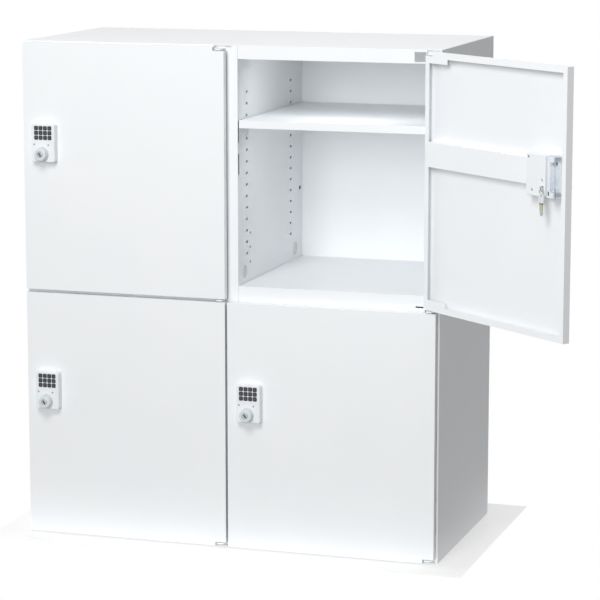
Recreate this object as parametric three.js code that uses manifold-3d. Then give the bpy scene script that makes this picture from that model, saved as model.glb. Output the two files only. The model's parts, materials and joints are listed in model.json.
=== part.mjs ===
// Parcel locker: a sheet-steel cabinet of two by two compartments. Each compartment has a
// pin-hinged door, a keypad lock with a turning knob that slides a latch bolt, and a shelf.
// Millimetres, +Z up, +X to the right, front towards -Y. The origin is at the middle of the
// cabinet body's base.

import * as THREE from 'three';
import { mergeVertices } from 'three/addons/utils/BufferGeometryUtils.js';
import Module from 'manifold-3d';

const wasm = await Module();
wasm.setup();

// ---- Driving dimensions ---------------------------------------------------------------

const bodyWidth = 900;
const bodyHeight = 1050;
const bodyDepth = 432;
const panelSheet = 1.2;
const frameSheet = 1.5;
const seatGap = 0.3;
const foldOverlap = 1;
const cutMargin = 1;
const weldTolerance = 0.01;

const headerHeight = 28;
const sillHeight = 28;
const midRailHeight = 60;
const returnDepth = 25;

const doorDepth = 15;
const doorSheet = 1.2;
const doorToFrame = 3;
const doorSideInset = 4;
const doorPairGap = 5;
const doorStackGap = 7;
const doorTopInset = 3;
const doorBottomInset = 4;
const doorLip = 12;
const doorOverlap = 18.5;

const pivotFromDoorEdge = 13;
const pinRadius = 3;
const pinClearance = 0.1;
const swingClearance = 1.8;
const rebateSideOverlap = 1;
const bracketSheet = 3;
const bracketNose = 9;
const bracketSideGap = 2;
const cornerCutHeight = 8;
const bracketGap = 1.4;
const pinEngagement = 3;
const pinWeld = 0.5;
const hingePlateWidth = 72;
const hingePlateHeight = 22;
const frontRimWidth = 4.5;
const centreRimWidth = 13;
const notchWidth = 24;
const notchHeight = 20;
const notchFromTop = 5;
const slitHeight = 3;
const slitAboveDoorBottom = 1;
const slitWidth = 18;
const openRest = 141;

const bandHeight = 50;
const bandBelowDoorTop = 178;

const lockWidth = 52;
const lockHeight = 80;
const lockDepth = 16;
const lockCorner = 5;
const lockFromDoorEdge = 24;
const lockBelowDoorTop = 167;
const keyRows = 3;
const keyColumns = 4;
const keyPitch = 10;
const keySize = 8.2;
const keyHeight = 3.4;
const keyProud = 1.3;
const keyTravel = 1.2;
const keyCornerRadius = 1.64;
const keyCornerSteps = 2;
const keypadFromTop = 3.5;
const keypadMargin = 1.2;
const keypadWeb = 0.8;

const knobRadius = 14;
const knobHeight = 14;
const knobTaper = 1;
const knobAboveBottom = 17;
const knobFromLeft = 24;
const keyholeWidth = 2.4;
const keyholeLength = 9;
const keyholeDepth = 5;
const keyholeTurn = 35;

const latchWidth = 38;
const latchBelowLip = 0.5;
const latchFromDoorEdge = 13;
const coverWidth = 57;
const coverProud = 8;
const coverGap = 2;
const lockHoleMargin = 12;
const boltBarWidth = 8;
const boltProud = 12;
const boltSheet = 4;
const tongueHeight = 10;
const tongueSpacing = 67.5;
const boltThrow = 12;
const boltToFlange = 2.5;
const strikeClearance = 17;
const strikeSideClearance = 2;

const spareKeyPlateRadius = 9;
const spareKeyLength = 24;
const spareKeyBladeWidth = 7;
const spareKeySheet = 2;
const spareKeyRingRadius = 6;
const spareKeyWire = 0.9;
const lugHole = 2.6;
const lugRadius = 5;
const lugSheet = 2;
const lugFromLatch = 4;
const lugAboveBottom = 17;

const shelfThickness = 16;
const shelfSheet = 1.2;
const shelfAheadOfRebate = 2.8;
const shelfSideGap = 1.5;
const shelfRearGap = 4;
const upperShelfAboveFloor = 342;
const lowerShelfAboveFloor = 366;

const slotPitch = 24;
const slotCount = 15;
const slotLength = 10;
const slotHeight = 4.5;
const slotAboveFloor = 60;
const frontSlotSetback = 58;
const rearSlotSetback = 350;

// ---- Derived places -------------------------------------------------------------------

const front = -bodyDepth / 2;
const back = bodyDepth / 2;
const halfWidth = bodyWidth / 2;
const doorWidth = (bodyWidth - 2 * doorSideInset - doorPairGap) / 2;
const doorHeight = (bodyHeight - doorTopInset - doorBottomInset - doorStackGap) / 2;
const doorBack = front - doorToFrame;
const doorFront = doorBack - doorDepth;
const pivotY = (doorFront + doorBack) / 2;
const cornerCutWidth = pivotFromDoorEdge + bracketNose + bracketSideGap;
const hingeSweep = Math.hypot(pivotFromDoorEdge, doorDepth / 2);
const rebateDepth = hingeSweep - doorDepth / 2 - doorToFrame + swingClearance;
const rebateReach = hingeSweep - rebateSideOverlap;
const midRailTop = (bodyHeight + midRailHeight + sillHeight - headerHeight) / 2;
const midRailBottom = midRailTop - midRailHeight;
const rebateBack = front + rebateDepth + frameSheet;
const deckFront = rebateBack + seatGap;
const linerFront = front + returnDepth + seatGap;
const linerFold = front + returnDepth - foldOverlap;
const linerBack = back - panelSheet - seatGap;
const lockMiddleZ = -lockBelowDoorTop - lockHeight / 2;
const latchPlateBack = doorBack - latchBelowLip;
const coverBack = doorBack + coverProud;
const boltBack = doorBack + boltProud;

const columns = [
  { side: 'left', doorLeft: -halfWidth + doorSideInset },
  { side: 'right', doorLeft: doorPairGap / 2 },
].map((column) => {
  const doorRight = column.doorLeft + doorWidth;
  return {
    ...column,
    doorRight,
    pivotX: doorRight - pivotFromDoorEdge,
    openLeft: column.doorLeft + doorOverlap,
    openRight: doorRight - doorOverlap,
    rebateRight: column.side === 'left'
      ? doorPairGap / 2 + doorOverlap - centreRimWidth
      : halfWidth - frontRimWidth,
  };
});

const levels = [
  { tier: 'top', floorZ: midRailTop, ceilingZ: bodyHeight - headerHeight,
    doorBottom: doorBottomInset + doorHeight + doorStackGap, shelfAboveFloor: upperShelfAboveFloor },
  { tier: 'bottom', floorZ: sillHeight, ceilingZ: midRailBottom,
    doorBottom: doorBottomInset, shelfAboveFloor: lowerShelfAboveFloor },
];

const steelWhite = new THREE.Color('#eef1f3');
const zincGrey = new THREE.Color('#c9d0da');
const keyGrey = new THREE.Color('#35363b');
const keyBrass = new THREE.Color('#b9b48e');

// ---- Solids ---------------------------------------------------------------------------

/** A manifold solid from a closed three.js geometry. */
function solid(geometry) {
  const plain = geometry.index ? geometry.toNonIndexed() : geometry.clone();
  plain.deleteAttribute('normal');
  plain.deleteAttribute('uv');
  const merged = mergeVertices(plain, 1e-4);
  return new wasm.Manifold(new wasm.Mesh({
    numProp: 3,
    vertProperties: new Float32Array(merged.attributes.position.array),
    triVerts: new Uint32Array(merged.index.array),
  }));
}

/** A box between two corners, as a solid. */
function block(x0, x1, y0, y1, z0, z1) {
  const geometry = new THREE.BoxGeometry(x1 - x0, y1 - y0, z1 - z0);
  geometry.translate((x0 + x1) / 2, (y0 + y1) / 2, (z0 + z1) / 2);
  return solid(geometry);
}

/** All the solids of a list joined into one. */
function join(solids) {
  return solids.reduce((sum, next) => sum.add(next));
}

/** The first solid less all the solids of a list. */
function cut(body, tools) {
  return tools.reduce((rest, next) => rest.subtract(next), body);
}

/** A rectangle with round corners, centred on its own origin. */
function roundedRectangle(width, height, radius) {
  const [x, y] = [width / 2, height / 2];
  const shape = new THREE.Shape();
  shape.moveTo(x, y - radius);
  shape.absarc(x - radius, y - radius, radius, 0, Math.PI / 2);
  shape.absarc(-x + radius, y - radius, radius, Math.PI / 2, Math.PI);
  shape.absarc(-x + radius, -y + radius, radius, Math.PI, 1.5 * Math.PI);
  shape.absarc(x - radius, -y + radius, radius, 1.5 * Math.PI, 2 * Math.PI);
  shape.closePath();
  return shape;
}

/** An outline in X and Z, carried along Y from y0 to y1. */
function prismAlongY(shape, y0, y1, curveSegments = 4) {
  const geometry = new THREE.ExtrudeGeometry(shape, { depth: y1 - y0, bevelEnabled: false, curveSegments });
  geometry.rotateX(Math.PI / 2);
  geometry.translate(0, y1, 0);
  return solid(geometry);
}

/** An upright round bar. */
function roundBar(radius, z0, z1, x, y, sides = 24) {
  const geometry = new THREE.CylinderGeometry(radius, radius, z1 - z0, sides);
  geometry.rotateX(Math.PI / 2);
  geometry.translate(x, y, (z0 + z1) / 2);
  return solid(geometry);
}

/** A named mesh with its own painted or plated material, from a solid. */
function part(name, shape, colour = steelWhite, metalness = 0, roughness = 0.5) {
  const { vertProperties, triVerts, numProp } = shape.simplify(weldTolerance).getMesh();
  const geometry = new THREE.BufferGeometry();
  const count = vertProperties.length / numProp;
  const position = new Float32Array(count * 3);
  for (let i = 0; i < count; i += 1) {
    position.set(vertProperties.slice(i * numProp, i * numProp + 3), i * 3);
  }
  geometry.setAttribute('position', new THREE.BufferAttribute(position, 3));
  geometry.setIndex(new THREE.BufferAttribute(new Uint32Array(triVerts), 1));
  geometry.computeVertexNormals();
  const material = new THREE.MeshStandardMaterial({ color: colour, metalness, roughness });
  const mesh = new THREE.Mesh(geometry, material);
  mesh.name = name;
  return mesh;
}

// ---- Outer casing ---------------------------------------------------------------------

/** Left or right outer wall. */
function sidePanel(side) {
  const outer = side === 'left' ? -halfWidth : halfWidth - panelSheet;
  const sheet = block(outer, outer + panelSheet, front + frameSheet + seatGap, back, 0, bodyHeight);
  return part(`${side}_side_panel`, sheet);
}

/** Top or bottom outer wall, lying between the side panels. */
function deckPanel(name, z0) {
  const reach = halfWidth - panelSheet - seatGap;
  return part(name, block(-reach, reach, deckFront, linerBack, z0, z0 + panelSheet));
}

/** Rear outer wall, set in between the side panels. */
function backPanel() {
  const reach = halfWidth - panelSheet - seatGap;
  return part('back_panel', block(-reach, reach, back - panelSheet, back, 0, bodyHeight));
}

// ---- Front: posts, rails and headers ----------------------------------------------------

/** The four flanges that turn back from the edges of one opening. */
function openingReturn(column, level) {
  return block(column.openLeft - frameSheet, column.openRight + frameSheet,
    front, front + returnDepth, level.floorZ - frameSheet, level.ceilingZ + frameSheet);
}

/** The clear space of one opening through the frame. */
function openingSpace(column, level) {
  return block(column.openLeft, column.openRight, front - cutMargin, front + returnDepth + cutMargin,
    level.floorZ, level.ceilingZ);
}

/** The strip set back behind the hinge side of a column, where the door's edge swings in. */
function rebateLining(column) {
  return block(column.pivotX - rebateReach - frameSheet, column.rebateRight + frameSheet,
    front, rebateBack, 0, bodyHeight);
}

/** The space that the rebate leaves free. */
function rebateSpace(column) {
  return block(column.pivotX - rebateReach, column.rebateRight,
    front - cutMargin, front + rebateDepth, panelSheet, bodyHeight - panelSheet);
}

/** Two slots in the lock-side flange that the latch tongues enter. */
function strikeSlots(column, level) {
  const middle = level.doorBottom + doorHeight + lockMiddleZ;
  const half = tongueHeight / 2 + strikeClearance;
  const [y0, y1] = [boltBack - boltSheet - strikeSideClearance, boltBack + strikeSideClearance];
  return [-1, 1].map((way) => {
    const z = middle + way * tongueSpacing / 2;
    return block(column.openLeft - frameSheet - cutMargin, column.openLeft + cutMargin,
      y0, y1, z - half, z + half);
  });
}

/** Hinge notches in the frame beside the rebate: a tall one in the header, a slit in the rail. */
function hingeNotches(column) {
  const x1 = column.pivotX - rebateReach - frameSheet;
  const x0 = x1 - notchWidth;
  const top = bodyHeight - notchFromTop;
  const slit = levels[0].doorBottom + slitAboveDoorBottom;
  return [
    block(x0, x1, front - cutMargin, front + frameSheet + cutMargin, top - notchHeight, top),
    block(x1 - slitWidth, x1, front - cutMargin, front + frameSheet + cutMargin, slit, slit + slitHeight),
  ];
}

/** The whole front before it is divided: posts, rails, flanges, rebates and slots. */
function wholeFront() {
  const cells = columns.flatMap((column) => levels.map((level) => [column, level]));
  const plate = block(-halfWidth, halfWidth, front, front + frameSheet, 0, bodyHeight);
  const edges = [0, bodyHeight - panelSheet].map((z0) => (
    block(-halfWidth + panelSheet + seatGap, halfWidth - panelSheet - seatGap,
      front, rebateBack, z0, z0 + panelSheet)));
  const returns = cells.map(([column, level]) => openingReturn(column, level));
  const tools = [
    ...cells.map(([column, level]) => openingSpace(column, level)),
    ...columns.map(rebateSpace),
    ...cells.flatMap(([column, level]) => strikeSlots(column, level)),
    ...columns.flatMap(hingeNotches),
  ];
  return cut(join([plate, ...returns, ...columns.map(rebateLining), ...edges]), tools);
}

/** The share of the front between two X and two Z bounds. */
function frontShare(x0, x1, z0, z1) {
  return wholeFront().intersect(block(x0, x1, front - cutMargin, linerFront + cutMargin, z0, z1));
}

/** The stretch of the front between a column's posts, from z0 to z1. */
function rail(column, z0, z1) {
  return frontShare(column.openLeft + seatGap, column.openRight - seatGap, z0, z1);
}

/** The rail over a column's upper opening. */
function header(column) {
  return part(`${column.side}_header`, rail(column, levels[0].ceilingZ - cutMargin, bodyHeight));
}

// ---- Inner walls, floors and shelves --------------------------------------------------

/** The shelf slots of one inner wall, as boxes through it. */
function shelfSlots(x0) {
  const tools = [];
  for (const level of levels) {
    for (const setback of [frontSlotSetback, rearSlotSetback]) {
      for (let index = 0; index < slotCount; index += 1) {
        const z = level.floorZ + slotAboveFloor + index * slotPitch;
        const y = front + setback;
        tools.push(block(x0 - cutMargin, x0 + panelSheet + cutMargin, y - slotLength / 2, y + slotLength / 2,
          z - slotHeight / 2, z + slotHeight / 2));
      }
    }
  }
  return tools;
}

/** Inner wall of a column, full height, with two rows of shelf slots per compartment. */
function innerWall(column, side) {
  const x0 = side === 'left'
    ? column.openLeft - seatGap - panelSheet
    : column.openRight + seatGap;
  const z0 = panelSheet + seatGap;
  const sheet = block(x0, x0 + panelSheet, linerFold, linerBack, z0, bodyHeight - z0);
  return cut(sheet, shelfSlots(x0));
}

/** A front post, full height, with the inner walls that are folded back from its edges. */
function post(name, x0, x1, walls) {
  return part(name, join([frontShare(x0, x1, 0, bodyHeight), ...walls]));
}

/** The two side liners and the partition between the columns. */
function posts() {
  const [left, right] = columns;
  return [
    post('left_liner', -halfWidth, left.openLeft, [innerWall(left, 'left')]),
    post('centre_partition', left.openRight, right.openLeft,
      [innerWall(left, 'right'), innerWall(right, 'left')]),
    post('right_liner', right.openRight, halfWidth, [innerWall(right, 'right')]),
  ];
}

/** A folded channel: deck, rear web and lower deck, open to the front and the sides. */
function channel(column, z0, z1) {
  const [x0, x1] = [column.openLeft + seatGap, column.openRight - seatGap];
  const outer = block(x0, x1, linerFold, linerBack, z0, z1);
  const hollow = block(x0 - cutMargin, x1 + cutMargin, linerFold - cutMargin, linerBack - panelSheet,
    z0 + panelSheet, z1 - panelSheet);
  return outer.subtract(hollow);
}

/** The divider between the two compartments of a column, with the middle rail as its front. */
function divider(column) {
  return part(`${column.side}_divider`, join([
    rail(column, midRailBottom - cutMargin, midRailTop + cutMargin),
    channel(column, midRailBottom, midRailTop),
  ]));
}

/** The raised floor of a lower compartment, with the sill as its front. */
function lowerFloor(column) {
  return part(`${column.side}_lower_floor`, join([
    rail(column, 0, sillHeight + cutMargin),
    channel(column, panelSheet + seatGap, sillHeight),
  ]));
}

/** A removable shelf: a tray with turned-down edges on all four sides. */
function shelf(column, level) {
  const top = level.floorZ + level.shelfAboveFloor;
  const bottom = top - shelfThickness;
  const [x0, x1] = [column.openLeft + shelfSideGap, column.openRight - shelfSideGap];
  const [y0, y1] = [front + rebateDepth - shelfAheadOfRebate, linerBack - shelfRearGap];
  const tray = block(x0, x1, y0, y1, bottom, top);
  const hollow = block(x0 + shelfSheet, x1 - shelfSheet, y0 + shelfSheet, y1 - shelfSheet,
    bottom - cutMargin, top - shelfSheet);
  return part(`${level.tier}_${column.side}_shelf`, tray.subtract(hollow));
}

// ---- Hinge brackets -------------------------------------------------------------------

/** Bracket outline seen from above: a tab with a round nose about the pin. */
function bracketTab(column, z0, z1) {
  const rear = front + rebateDepth - seatGap - pivotY;
  const shape = new THREE.Shape();
  shape.moveTo(-bracketNose, rear);
  shape.lineTo(-bracketNose, 0);
  shape.absarc(0, 0, bracketNose, Math.PI, 2 * Math.PI);
  shape.lineTo(bracketNose, rear);
  shape.closePath();
  const depth = z1 - z0;
  const geometry = new THREE.ExtrudeGeometry(shape, { depth, bevelEnabled: false, curveSegments: 8 });
  geometry.translate(column.pivotX, pivotY, z0);
  return solid(geometry);
}

/** One bracket with its pin ends, at the bottom, middle or top of a column. */
function hingeBracket(column, place) {
  const pinReach = cornerCutHeight + doorSheet + pinEngagement;
  const [upper, lower] = levels;
  const upperTop = upper.doorBottom + doorHeight;
  const spans = {
    bottom: {
      tab: [lower.doorBottom + cornerCutHeight - bracketGap - bracketSheet,
        lower.doorBottom + cornerCutHeight - bracketGap],
      pin: [lower.doorBottom + cornerCutHeight - bracketGap, lower.doorBottom + pinReach],
    },
    middle: {
      tab: [upper.doorBottom - doorStackGap / 2 - bracketSheet / 2,
        upper.doorBottom - doorStackGap / 2 + bracketSheet / 2],
      pin: [lower.doorBottom + doorHeight - pinReach, upper.doorBottom + pinReach],
    },
    top: {
      tab: [upperTop - cornerCutHeight + bracketGap,
        upperTop - cornerCutHeight + bracketGap + bracketSheet],
      pin: [upperTop - pinReach, upperTop - cornerCutHeight + bracketGap],
    },
  };
  const { tab, pin } = spans[place];
  const [pinLow, pinHigh] = place === 'bottom' ? [pin[0] - pinWeld, pin[1]]
    : place === 'top' ? [pin[0], pin[1] + pinWeld] : pin;
  const body = bracketTab(column, ...tab).add(roundBar(pinRadius, pinLow, pinHigh, column.pivotX, pivotY));
  return part(`${column.side}_${place}_hinge_bracket`, body, steelWhite, 0, 0.45);
}

// ---- Doors, drawn about their own pin, closed, with their top edge at z = 0 -------------

/** Door-local X of a distance measured from the door's free edge. */
function fromFreeEdge(distance) {
  return -(doorWidth - pivotFromDoorEdge) + distance;
}

const localFront = doorFront - pivotY;
const localBack = doorBack - pivotY;

/** The plates and webs that carry the pin at one hinge corner of a door. */
function hingeCorner(way, cornered) {
  const edgeZ = way > 0 ? 0 : -doorHeight;
  const inward = (distance) => edgeZ - way * distance;
  const span = (near, far) => [Math.min(inward(near), inward(far)), Math.max(inward(near), inward(far))];
  const webNear = cornered ? cornerCutHeight : 0;
  const right = pivotFromDoorEdge;
  const web = block(right - cornerCutWidth - doorSheet, right - doorSheet / 2,
    localFront + doorSheet / 2, localBack - doorSheet / 2, ...span(webNear, webNear + doorSheet));
  const plate = block(right - hingePlateWidth, right - doorSheet / 2,
    localBack - doorSheet, localBack, ...span(webNear + doorSheet / 2, hingePlateHeight));
  const wall = block(right - cornerCutWidth - doorSheet, right - cornerCutWidth,
    localFront + doorSheet / 2, localBack - doorSheet / 2, ...span(doorSheet / 2, webNear + doorSheet));
  return cornered ? [web, plate, wall] : [web, plate];
}

/** The space cut out of a hinge corner, where the frame's bracket stands. */
function cornerCut(way) {
  const edgeZ = way > 0 ? 0 : -doorHeight;
  const [z0, z1] = way > 0
    ? [edgeZ - cornerCutHeight, edgeZ + cutMargin]
    : [edgeZ - cutMargin, edgeZ + cornerCutHeight];
  return block(pivotFromDoorEdge - cornerCutWidth, pivotFromDoorEdge + cutMargin,
    localFront - cutMargin, localBack + cutMargin, z0, z1);
}

/** The stiffening channel across the inside of a door, open at both ends. */
function crossBand() {
  const x0 = fromFreeEdge(latchFromDoorEdge + latchWidth + coverWidth + coverGap);
  const x1 = pivotFromDoorEdge - doorLip / 2;
  const top = -bandBelowDoorTop;
  const outer = block(x0, x1, localFront + doorSheet / 2, localBack, top - bandHeight, top);
  const hollow = block(x0 - cutMargin, x1 + cutMargin, localFront + doorSheet, localBack - doorSheet,
    top - bandHeight + doorSheet, top - doorSheet);
  return outer.subtract(hollow);
}

/** Door pan with turned edges, inner lips, hinge corners and the welded cross band. */
function doorPan(level) {
  const [x0, x1] = [fromFreeEdge(0), pivotFromDoorEdge];
  const outer = block(x0, x1, localFront, localBack, -doorHeight, 0);
  const hollow = block(x0 + doorSheet, x1 - doorSheet, localFront + doorSheet, localBack - doorSheet,
    -doorHeight + doorSheet, -doorSheet);
  const mouth = block(x0 + doorLip, x1 - doorLip, localBack - 2 * doorSheet, localBack + cutMargin,
    -doorHeight + doorLip, -doorLip);
  const corners = [
    ...hingeCorner(1, level.tier === 'top'),
    ...hingeCorner(-1, level.tier === 'bottom'),
  ];
  const shell = cut(outer, [hollow, mouth, cornerCut(level.tier === 'top' ? 1 : -1)]);
  const pinHole = roundBar(pinRadius + pinClearance, -doorHeight - cutMargin, cutMargin, 0, 0);
  const lockHole = block(...lockSpanX(lockHoleMargin),
    localFront - cutMargin, localFront + doorSheet + cutMargin, ...lockSpanZ(lockHoleMargin));
  return cut(join([shell, ...corners, crossBand()]), [pinHole, lockHole]);
}

/** X span of the lock, less a margin at each side. */
function lockSpanX(margin) {
  return [fromFreeEdge(lockFromDoorEdge + margin), fromFreeEdge(lockFromDoorEdge + lockWidth - margin)];
}

/** Z span of the lock, less a margin at top and bottom. */
function lockSpanZ(margin) {
  return [-lockBelowDoorTop - lockHeight + margin, -lockBelowDoorTop - margin];
}

// ---- Locks, in the same door-local place ------------------------------------------------

const lockFront = localFront - lockDepth;
const pocketWidth = (keyColumns - 1) * keyPitch + keySize + 2 * keypadMargin;
const pocketHeight = (keyRows - 1) * keyPitch + keySize + 2 * keypadMargin;
const keypadX = fromFreeEdge(lockFromDoorEdge + lockWidth / 2);
const keypadZ = -lockBelowDoorTop - keypadFromTop - pocketHeight / 2;
const keyFront = lockFront - keyProud;
const keyBack = keyFront + keyHeight;
const pocketFloor = keyBack + keyTravel + seatGap;
const knobX = fromFreeEdge(lockFromDoorEdge + knobFromLeft);
const knobZ = -lockBelowDoorTop - lockHeight + knobAboveBottom;
const lugX = fromFreeEdge(latchFromDoorEdge + latchWidth + lugFromLatch);
const lugZ = -lockBelowDoorTop - lockHeight + lugAboveBottom;
const lugY = coverBack - pivotY + lugRadius;

/** Keypad and knob housing on the outside of a door. */
function lockHousing() {
  const middleX = fromFreeEdge(lockFromDoorEdge + lockWidth / 2);
  const outline = roundedRectangle(lockWidth, lockHeight, lockCorner);
  const body = prismAlongY(outline, lockFront, localFront - seatGap)
    .translate(middleX, 0, lockMiddleZ);
  const pocket = block(keypadX - pocketWidth / 2, keypadX + pocketWidth / 2,
    lockFront - cutMargin, pocketFloor,
    keypadZ - pocketHeight / 2, keypadZ + pocketHeight / 2);
  return body.subtract(pocket);
}

/** One push key, with round corners. */
function pushKey(row, column) {
  const x = keypadX + (column - (keyColumns - 1) / 2) * keyPitch;
  const z = keypadZ - (row - (keyRows - 1) / 2) * keyPitch;
  const outline = roundedRectangle(keySize, keySize, keyCornerRadius);
  return prismAlongY(outline, keyFront, keyBack, keyCornerSteps).translate(x, 0, z);
}

/** A keypad moulded in one piece: its keys on a thin web. */
function keypadMat() {
  const [halfX, halfZ] = [pocketWidth / 2 - seatGap, pocketHeight / 2 - seatGap];
  const web = block(keypadX - halfX, keypadX + halfX, keyBack - keypadWeb, keyBack,
    keypadZ - halfZ, keypadZ + halfZ);
  const keys = [];
  for (let row = 0; row < keyRows; row += 1) {
    for (let column = 0; column < keyColumns; column += 1) keys.push(pushKey(row, column));
  }
  return join([web, ...keys]);
}

/** Turning knob with a keyhole across its face. */
function lockKnob() {
  const rear = lockFront - seatGap;
  const body = solid(new THREE.CylinderGeometry(knobRadius, knobRadius - knobTaper, knobHeight, 32)
    .translate(0, rear - knobHeight / 2, 0)).translate(knobX, 0, knobZ);
  const face = rear - knobHeight;
  const slot = block(-keyholeWidth / 2, keyholeWidth / 2, face - cutMargin, face + keyholeDepth,
    -keyholeLength / 2, keyholeLength / 2).rotate([0, keyholeTurn, 0]).translate(knobX, 0, knobZ);
  return body.subtract(slot);
}

/** Lug that a key ring threads: a small ear with its hole along X. */
function keyLug() {
  const disc = new THREE.CylinderGeometry(lugRadius, lugRadius, lugSheet, 20).rotateZ(Math.PI / 2);
  const drill = lugSheet + 2 * cutMargin;
  const hole = new THREE.CylinderGeometry(lugHole, lugHole, drill, 20).rotateZ(Math.PI / 2);
  const ear = solid(disc).translate(lugX, lugY, lugZ);
  const foot = block(lugX - lugSheet / 2, lugX + lugSheet / 2, coverBack - pivotY - foldOverlap, lugY,
    lugZ - lugRadius, lugZ + lugRadius);
  return ear.add(foot).subtract(solid(hole).translate(lugX, lugY, lugZ));
}

/** Inner case of a lock: the flush latch body and the cover that stands proud beside it. */
function lockCase(withLug) {
  const y0 = localFront + doorSheet + seatGap;
  const latchLeft = fromFreeEdge(latchFromDoorEdge);
  const coverLeft = latchLeft + latchWidth;
  const latch = block(latchLeft, coverLeft + foldOverlap, y0, latchPlateBack - pivotY, ...lockSpanZ(0));
  const cover = block(coverLeft, coverLeft + coverWidth, y0, coverBack - pivotY, ...lockSpanZ(0));
  return join(withLug ? [latch, cover, keyLug()] : [latch, cover]);
}

/** Latch bolt, drawn back: an upright bar with two tongues towards the post. */
function latchBolt() {
  const tip = fromFreeEdge(doorOverlap + boltToFlange);
  const barLeft = fromFreeEdge(doorOverlap + boltToFlange + boltThrow - foldOverlap);
  const rear = boltBack - pivotY;
  const halfSpan = tongueSpacing / 2 + tongueHeight / 2;
  const bar = block(barLeft, barLeft + boltBarWidth, latchPlateBack - pivotY + seatGap, rear,
    lockMiddleZ - halfSpan, lockMiddleZ + halfSpan);
  const tongues = [-1, 1].map((way) => {
    const z = lockMiddleZ + way * tongueSpacing / 2;
    return block(tip, barLeft + foldOverlap, rear - boltSheet, rear,
      z - tongueHeight / 2, z + tongueHeight / 2);
  });
  return join([bar, ...tongues]);
}

/** Spare key hanging from its ring. */
function spareKey() {
  const ring = new THREE.TorusGeometry(spareKeyRingRadius, spareKeyWire, 8, 24).rotateX(Math.PI / 2);
  const ringZ = -spareKeyRingRadius;
  const bowZ = 2 * ringZ - spareKeyPlateRadius + foldOverlap;
  const bow = new THREE.CylinderGeometry(spareKeyPlateRadius, spareKeyPlateRadius, spareKeySheet, 24);
  const bladeTop = bowZ - spareKeyPlateRadius + foldOverlap;
  const blade = block(-spareKeyBladeWidth / 2, spareKeyBladeWidth / 2,
    -spareKeySheet / 2, spareKeySheet / 2, bladeTop - spareKeyLength, bladeTop);
  return join([solid(ring).translate(0, 0, ringZ), solid(bow).translate(0, 0, bowZ), blade])
    .translate(lugX, lugY, lugZ);
}

/** A door and everything that moves with it, hung at its pin. */
function doorUnit(column, level) {
  const place = `${level.tier}_${column.side}`;
  const unit = new THREE.Group();
  unit.position.set(column.pivotX, pivotY, level.doorBottom + doorHeight);
  const open = place === 'top_right';
  unit.rotation.z = open ? THREE.MathUtils.degToRad(openRest) : 0;
  unit.add(part(`${place}_door`, doorPan(level)));
  unit.add(part(`${place}_lock_housing`, lockHousing(), steelWhite, 0, 0.4));
  unit.add(part(`${place}_lock_knob`, lockKnob(), zincGrey, 0.2, 0.4));
  unit.add(part(`${place}_lock_case`, lockCase(open), zincGrey, 0.5, 0.4));
  unit.add(part(`${place}_latch_bolt`, latchBolt(), zincGrey, 0.9, 0.35));
  if (place === 'top_left') {
    for (let row = 0; row < keyRows; row += 1) {
      for (let key = 0; key < keyColumns; key += 1) {
        const number = String(row * keyColumns + key + 1).padStart(2, '0');
        unit.add(part(`${place}_push_key_${number}`, pushKey(row, key), keyGrey, 0, 0.6));
      }
    }
  } else {
    unit.add(part(`${place}_keypad`, keypadMat(), keyGrey, 0, 0.6));
  }
  if (open) unit.add(part('spare_key', spareKey(), keyBrass, 0.9, 0.4));
  return unit;
}

// ---- The whole locker -----------------------------------------------------------------

const locker = new THREE.Group();
locker.add(sidePanel('left'), sidePanel('right'));
locker.add(deckPanel('top_panel', bodyHeight - panelSheet), deckPanel('bottom_panel', 0));
locker.add(backPanel(), ...posts());
for (const column of columns) {
  locker.add(header(column), divider(column), lowerFloor(column));
  for (const place of ['bottom', 'middle', 'top']) locker.add(hingeBracket(column, place));
  for (const level of levels) locker.add(shelf(column, level), doorUnit(column, level));
}

export default locker;
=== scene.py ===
"""Looks of a sheet-steel parcel locker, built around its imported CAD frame.

Every piece is made in metres, in the locker's own frame: +X right, +Y to the back, +Z up. Door
pieces are drawn about the door's pin, closed, with the door's top edge at z = 0, and are carried
to their resting place by the door's own turn.
"""

from __future__ import annotations

import json
import logging
import math
from dataclasses import dataclass, field
from enum import Enum

import bmesh
import bpy
import numpy as np
from mathutils import Matrix, Vector
from mathutils.geometry import tessellate_polygon


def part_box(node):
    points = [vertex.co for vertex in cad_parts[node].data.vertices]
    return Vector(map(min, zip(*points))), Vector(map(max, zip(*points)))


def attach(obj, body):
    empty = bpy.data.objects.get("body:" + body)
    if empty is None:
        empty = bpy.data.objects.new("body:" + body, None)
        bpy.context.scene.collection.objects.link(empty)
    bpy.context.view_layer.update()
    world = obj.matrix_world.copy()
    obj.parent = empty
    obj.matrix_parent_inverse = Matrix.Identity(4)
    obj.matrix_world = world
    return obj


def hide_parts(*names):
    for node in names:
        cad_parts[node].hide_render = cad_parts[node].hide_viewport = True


LOG = logging.getLogger("locker")
MM = 0.001
ARC_STEPS = 5
# Edges turned by more than this stay sharp, and are rounded on the sheets.
FOLD_ANGLE = math.radians(34)
# Points of a CAD mesh nearer than this, in metres, are one, and flatter folds are one face.
WELD_DISTANCE = 2e-6
FLAT_ANGLE = math.radians(0.5)
# Half the thickness of a printed mark, in millimetres, and a font's size over its figures' height.
INK_HALF = 0.03
FONT_SCALE = 1.38
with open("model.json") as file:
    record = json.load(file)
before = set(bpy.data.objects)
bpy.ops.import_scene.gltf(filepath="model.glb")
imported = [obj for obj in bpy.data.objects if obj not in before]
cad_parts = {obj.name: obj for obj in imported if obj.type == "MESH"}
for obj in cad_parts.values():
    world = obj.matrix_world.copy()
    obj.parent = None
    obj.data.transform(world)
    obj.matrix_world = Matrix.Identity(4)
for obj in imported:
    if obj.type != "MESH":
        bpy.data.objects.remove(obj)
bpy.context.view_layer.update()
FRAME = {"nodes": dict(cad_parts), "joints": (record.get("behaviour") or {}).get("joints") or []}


# ---- Colours and nodes -------------------------------------------------------------------


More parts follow.
